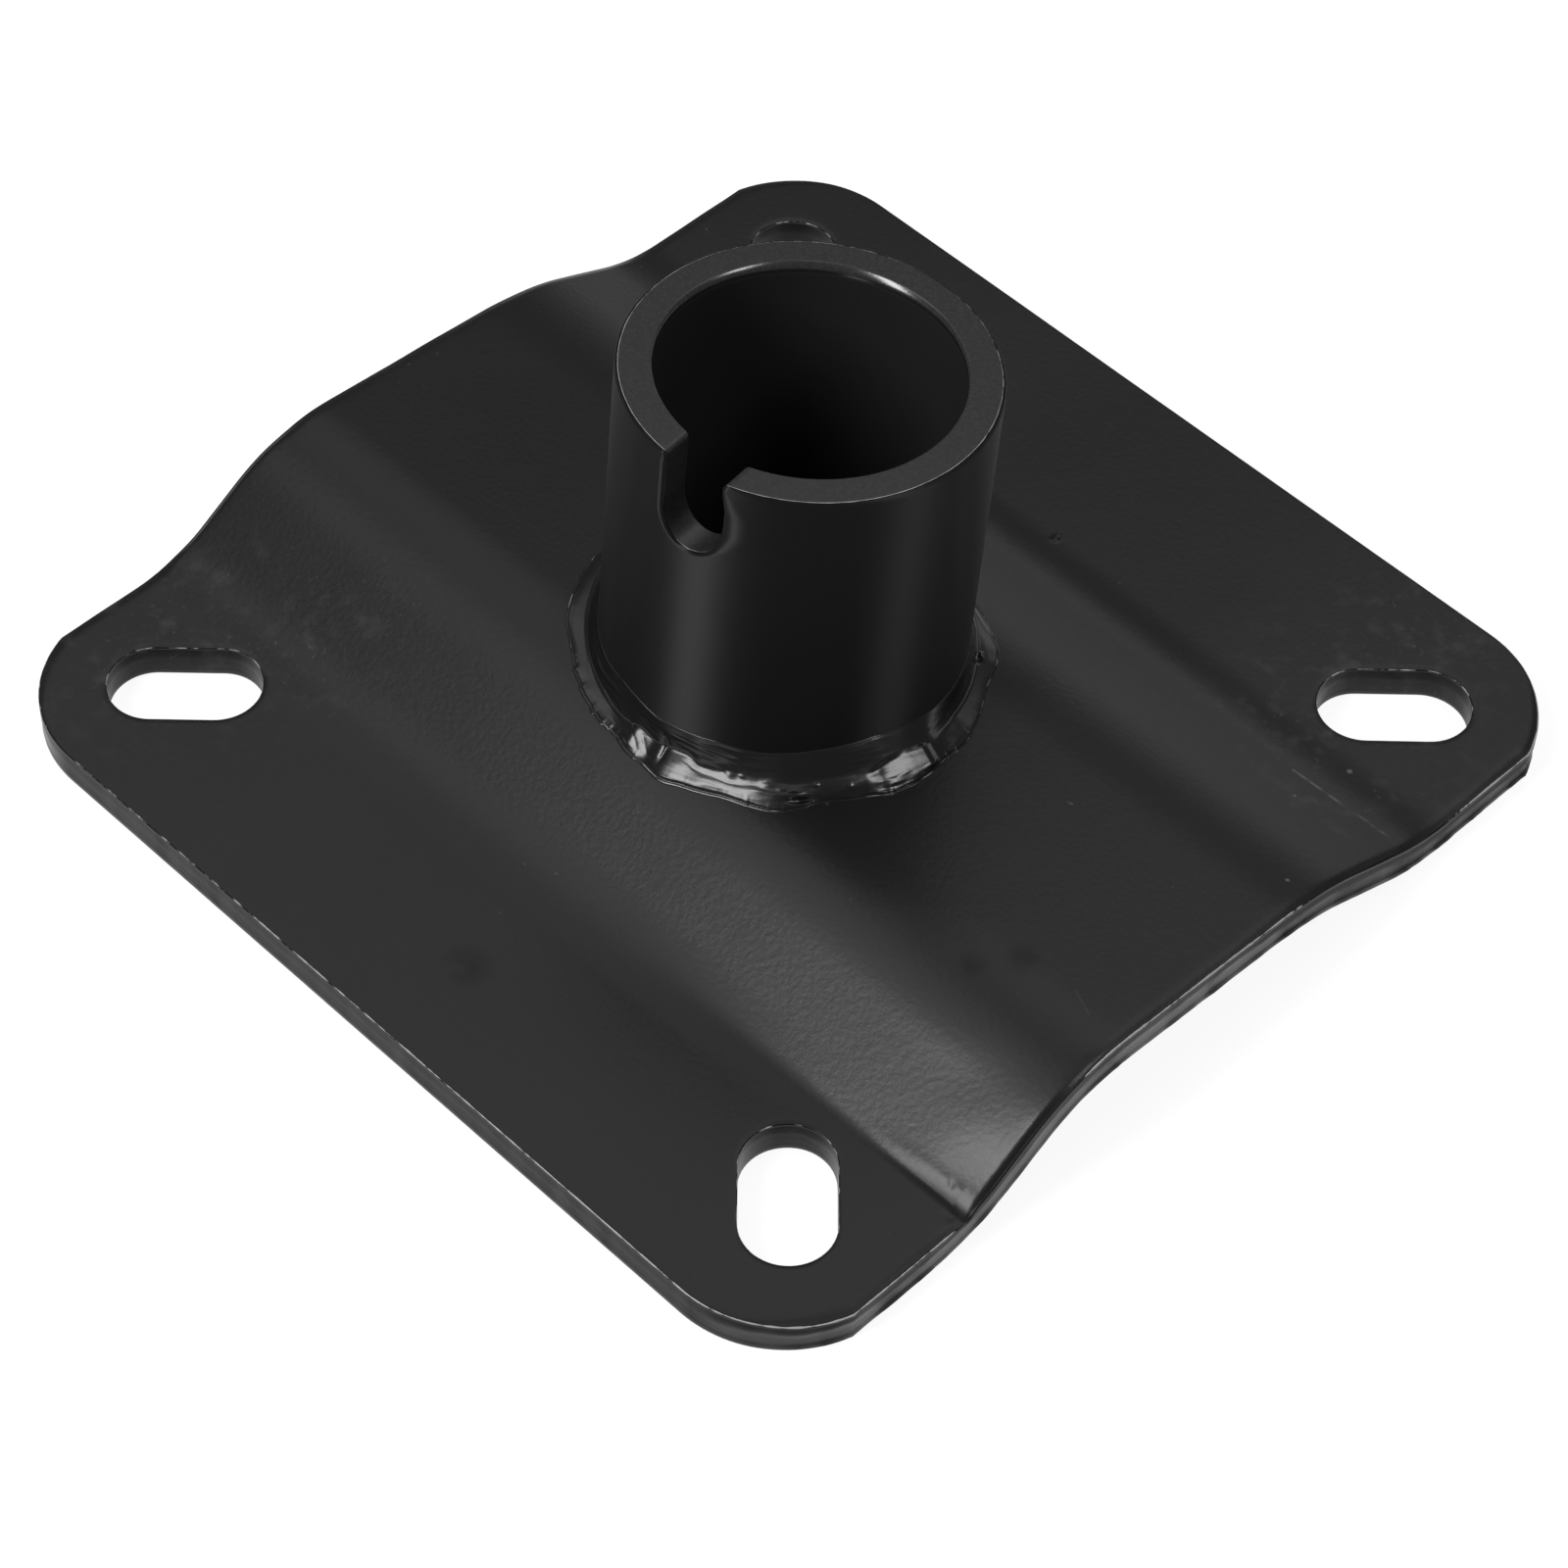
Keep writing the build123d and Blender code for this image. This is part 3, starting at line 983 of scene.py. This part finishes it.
# Lines on the plate: two ends and a width
# Painted shade: along this line, the crease at the foot of the near slope, the coat is dulled so that it
# reads dark
PAINTED_CREASE_SHADE = ((64, -54.8, 6.3), (92, -53.8, 6.5), 3.2)
PAINTED_CREASE_SHADE_REACH = 26.0       # from its second end, over which it fades
SCRATCH = ((68.9, 45.8, 8.5), (88.4, 46.6, 8.4), 1.0)
NICK = ((80.3, -19.4, 20.5), (85.0, -21.3, 20.6), 0.4)
STREAK = ((54.4, -55.4, 7.3), (57.2, -52.6, 8.2), 0.4)


def plate_marks(tree, place):
    """Shares of pale dust and of dulled coat on the plate: dull smudges, and painted shade along the crease.
    """
    dusty = highest(tree, [near_point(tree, place, *spot) for spot in DUSTY])
    blotches = times(tree, ramp(tree, cloud(tree, place, 260.0, 4.0), 0.50, 0.75), 0.18)
    grit = times(tree, ramp(tree, cloud(tree, place, 1100.0, 4.0), 0.60, 0.74), 0.40)
    grit = times(tree, grit, ramp(tree, cloud(tree, place, 140.0, 2.0), 0.42, 0.62, 0.15, 1.0))
    pale = times(tree, dusty, maths(tree, "MAXIMUM", blotches, grit))
    flecks = highest(tree, [near_point(tree, place, *spot) for spot in FLECKS])
    broken = ramp(tree, cloud(tree, place, 330.0, 4.0), 0.36, 0.62, 0.05, 0.7)
    scratch = times(tree, near_line(tree, place, *SCRATCH), broken)
    nick = times(tree, near_line(tree, place, *NICK), 0.15)
    streak = times(tree, near_line(tree, place, *STREAK), 0.2)
    pale = highest(tree, [pale, flecks, scratch, nick, streak])
    dulled = highest(tree, [near_point(tree, place, *spot) for spot in SMUDGES])
    dulled = times(tree, dulled, ramp(tree, cloud(tree, place, 180.0, 2.0), 0.35, 0.6, 0.4, 1.0))
    # Painted shade along the crease, fading from its second end
    groove = times(tree, near_line(tree, place, *PAINTED_CREASE_SHADE), 1.8)
    groove = times(tree, groove, near_point(tree, place, PAINTED_CREASE_SHADE[1], PAINTED_CREASE_SHADE_REACH))
    return pale, maths(tree, "MAXIMUM", dulled, groove)


def tube_zones(tree):
    """Shares of the sawn rim and notch, the bore, its flared mouth and the notch's upright walls."""
    normal = node(tree, "TexCoord").outputs["Normal"]
    up = vectors(tree, "DOT_PRODUCT", normal, tuple(SEAT_UP)).outputs["Value"]
    depth = node(tree, "Attribute", attribute_name="depth").outputs["Fac"]
    sawn = times(tree, ramp(tree, depth, 0.06, 0.14), ramp(tree, depth, 0.95, 0.985, 1.0, 0.0))
    bore = ramp(tree, depth, 0.97, 1.0)
    mouth = times(tree, ramp(tree, up, 0.94, 0.99, 1.0, 0.0), ramp(tree, up, 0.02, 0.20))
    mouth = times(tree, mouth, ramp(tree, depth, 0.80, 0.86))
    walls = times(tree, sawn, ramp(tree, up, 0.10, 0.75, 1.0, 0.0))
    return sawn, bore, mouth, walls


def worn_coat(tree, chips):
    """Shares of bare metal and of dull coat, from the mesh's wear attribute; the bare share is partly a
    painted highlight and the dull share partly painted shade.

    It is above 0 where an arris is worn, and on the plate's walls that follow the bends where a highlight is
    painted, bare past the chips and dull between them, and below 0 where the coat on a cut is dull, which on
    the plate partly paints the shade on its walls.
    """
    wear = node(tree, "Attribute", attribute_name="wear").outputs["Fac"]
    past_chips = maths(tree, "SUBTRACT", wear, chips)
    bare = ramp(tree, past_chips, -0.04, 0.12)
    covered = ramp(tree, past_chips, -0.04, 0.12, 1.0, 0.0)
    between = times(tree, covered, ramp(tree, wear, 0.05, 0.45, 0.0, 0.75))
    cut = maths(tree, "MAXIMUM", times(tree, wear, -1.0), 0.0)
    return bare, maths(tree, "MAXIMUM", cut, between)


def coat_material(
    name, tone, roughness, sheen, grain, grain_height, worn_and_highlight_tone, specks, marks=None, zones=None
):
    """Black coating: uneven tone, fine grain, pale dust specks, worn arrises and dull cuts, which on the
    plate are partly a painted highlight and painted shade.

    sheen is the strength of its reflections, 0.5 for plain paint. grain is waves per metre and
    grain_height is in metres. With zones the piece is a tube with sawn and flared faces, and the
    rest of it is turned, with fine rings that stretch the highlights along Z.
    """
    made, tree = empty_material(name)
    place = node(tree, "TexCoord").outputs["Object"]
    broad = cloud(tree, place, 30.0, 4.0)
    fine = cloud(tree, place, grain, 3.0)
    chips = cloud(tree, place, 420.0, 4.0)
    bare, dull = worn_coat(tree, chips)
    dots = ramp(tree, cloud(tree, place, 900.0, 1.0), 0.76, 0.82)
    dust = times(tree, dots, ramp(tree, cloud(tree, place, 60.0, 2.0), 0.5, 0.7))
    dust = times(tree, dust, specks)
    # dull cuts lower the reflections, on the plate's walls partly as painted shade
    shine = mixed(tree, dull, sheen, sheen * 0.1)
    if marks:
        pale, dulled = marks(tree, place)
        dust = maths(tree, "MAXIMUM", dust, pale)
        # Dull smudges, and painted shade along the plate's crease, lower the reflections
        shine = times(tree, shine, ramp(tree, dulled, 0.0, 2.0, 1.0, 0.40))
    level = mixed(tree, broad, tone * 0.8, tone * 1.2)
    level = mixed(tree, dust, level, 0.10)
    # pale arrises: worn coat, and on the plate's walls that follow the bends a painted highlight
    level = mixed(tree, bare, level, worn_and_highlight_tone)
    gloss = mixed(tree, fine, roughness * 0.88, roughness * 1.12)
    gloss = mixed(tree, broad, gloss, roughness)
    surface = {}
    if zones:
        sawn, bore, mouth, walls = zones(tree)
        sawn_level = ramp(tree, fine, 0.38, 0.68, 0.016, 0.024)
        level = mixed(tree, bore, mixed(tree, sawn, level, sawn_level), 0.018)
        gloss = mixed(tree, sawn, gloss, ramp(tree, fine, 0.3, 0.7, 0.30, 0.34))
        gloss = mixed(tree, mouth, gloss, 0.20)
        sawn_shine = mixed(tree, walls, 0.46, ramp(tree, chips, 0.35, 0.65, 0.10, 0.30))
        shine = mixed(tree, bore, mixed(tree, sawn, shine, sawn_shine), 0.09)
        shine = mixed(tree, mouth, shine, 0.80)
        stretch = ramp(tree, maths(tree, "MAXIMUM", sawn, bore), 0.0, 0.5, 1.0, 0.0)
        rings = node(tree, "Tangent", direction_type="RADIAL", axis="Z").outputs[0]
        surface.update({"Anisotropic": stretch, "Anisotropic Rotation": 0.25, "Tangent": rings})
    colour = node(tree, "CombineColor", {"Red": level, "Green": level, "Blue": level}).outputs[0]
    grained = {"Height": fine, "Strength": 1.0, "Distance": grain_height}
    bump = node(tree, "Bump", grained).outputs[0]
    surface.update({"Base Color": colour, "Roughness": gloss, "Normal": bump, "Specular IOR Level": shine})
    shader = node(tree, "BsdfPrincipled", surface)
    node(tree, "OutputMaterial", {"Surface": shader.outputs[0]})
    return made


def powder_black():
    """Satin, faintly grained powder coat, with the plate's dust, scratches and smudges, a painted highlight
    on some arrises and painted shade on cut walls and along the crease.
    """
    return coat_material(
        "powder_black", tone=0.008, roughness=0.32, sheen=0.36, grain=1000.0, grain_height=0.000034,
        worn_and_highlight_tone=0.35, specks=0.4, marks=plate_marks,
    )


def tube_black():
    """Smooth paint over the machined tube."""
    return coat_material(
        "tube_black", tone=0.004, roughness=0.50, sheen=0.25, grain=1900.0, grain_height=0.00001,
        worn_and_highlight_tone=0.30, specks=0.5, zones=tube_zones,
    )


def weld_black():
    """Glossy paint over weld metal."""
    return coat_material(
        "weld_black", tone=0.005, roughness=0.235, sheen=0.52, grain=1100.0, grain_height=0.00001,
        worn_and_highlight_tone=0.30, specks=0.3,
    )


# Stage, lamps and camera, in metres, degrees and watts
FLOOR_REACH = 6.0
FLOOR_Z = -0.0002
WORLD_STRENGTH = 0.14
LAMP_DISTANCE = 1.2
LAMP_TARGET = Vector((0, 0, 0.02))

# Lamps: name, bearing, elevation, width, height, power
LAMPS = (
    ("lamp_left", -103, 41, 0.3, 0.75, 10.0),
    ("lamp_right", 20, 48, 0.3, 0.4, 3.8),
    ("lamp_side", 78, 61, 0.5, 0.5, 0.5),
    ("lamp_back", 128, 58, 1.2, 0.6, 1.9),
    ("lamp_top", -45, 84, 0.5, 0.5, 0.5),
    ("lamp_low", 112, 16, 0.5, 0.3, 0.37),
    ("lamp_far_left", -150, 60, 0.6, 0.5, 1.2),
)


def make_floor():
    """Pale floor that is white to the camera and in reflections, and keeps a faint shadow."""
    mesh = bpy.data.meshes.new("floor")
    signs = ((-1, -1), (1, -1), (1, 1), (-1, 1))
    corners = [(FLOOR_REACH * sx, FLOOR_REACH * sy, FLOOR_Z) for sx, sy in signs]
    mesh.from_pydata(corners, [], [(0, 1, 2, 3)])
    floor = add_object("floor", mesh)
    made, tree = empty_material("floor_pale")
    path = node(tree, "LightPath")
    seen = highest(tree, [path.outputs["Is " + ray + " Ray"] for ray in ("Camera", "Glossy", "Transmission")])
    matt = node(tree, "BsdfDiffuse", {"Color": (0.8, 0.8, 0.8, 1)})
    shade = node(tree, "BsdfDiffuse", {"Color": (0.2, 0.2, 0.2, 1)})
    glow = node(tree, "Emission", {"Color": (1, 1, 1, 1), "Strength": 0.88})
    both = node(tree, "AddShader", {0: shade.outputs[0], 1: glow.outputs[0]})
    mix = node(tree, "MixShader", {0: seen, 1: matt.outputs[0], 2: both.outputs[0]})
    node(tree, "OutputMaterial", {"Surface": mix.outputs[0]})
    mesh.materials.append(made)


def soft_lamp(name, bearing, elevation, width, height, power):
    """Soft light that faces the object from a bearing and an elevation in degrees."""
    b, e = math.radians(bearing), math.radians(elevation)
    way = Vector((math.cos(b) * math.cos(e), math.sin(b) * math.cos(e), math.sin(e)))
    data = bpy.data.lights.new(name, "AREA")
    data.shape = "RECTANGLE"
    data.size, data.size_y = width, height
    data.energy = power
    lamp = add_object(name, data)
    lamp.location = way * LAMP_DISTANCE + LAMP_TARGET
    lamp.rotation_mode = "QUATERNION"
    lamp.rotation_quaternion = way.to_track_quat("Z", "Y")


def make_world():
    world = bpy.data.worlds.new("studio")
    world.use_nodes = True
    background = world.node_tree.nodes["Background"]
    background.inputs["Color"].default_value = (1, 1, 1, 1)
    background.inputs["Strength"].default_value = WORLD_STRENGTH
    bpy.context.scene.world = world


def make_camera():
    """The photograph's camera, fitted to the plate's outline, slots, rim and tube."""
    az, el, roll = math.radians(43.768), math.radians(50.324), math.radians(1.956)
    distance, aside, above = 761.881, -0.956, -10.699
    back = Vector((math.sin(az) * math.cos(el), -math.cos(az) * math.cos(el), math.sin(el)))
    right = Vector((math.cos(az), math.sin(az), 0))
    up = back.cross(right)
    across = right * math.cos(roll) + up * math.sin(roll)
    upward = up * math.cos(roll) - right * math.sin(roll)
    data = bpy.data.cameras.new("camera")
    data.sensor_width = 36.0
    data.lens = 106.209
    data.clip_start, data.clip_end = 0.05, 20.0
    camera = add_object("camera", data)
    turn = Matrix((across, upward, back)).transposed().to_4x4()
    eye = (back * distance + across * aside + upward * above) * MM
    camera.matrix_world = Matrix.Translation(eye) @ turn
    bpy.context.scene.camera = camera


make_camera()
make_floor()
make_world()
for lamp in LAMPS:
    soft_lamp(*lamp)

pieces = (
    (make_plate(), "mounting_plate", "powder_coat", powder_black()),
    (make_tube(), "socket_tube", "tube_coat", tube_black()),
    (make_weld(), "weld_bead", "weld_coat", weld_black()),
)
for piece, cad_node, finish, coat in pieces:
    piece.data.materials.append(coat)
    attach(piece, "root")
    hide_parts(cad_node)

bpy.context.scene.view_settings.view_transform = "Standard"
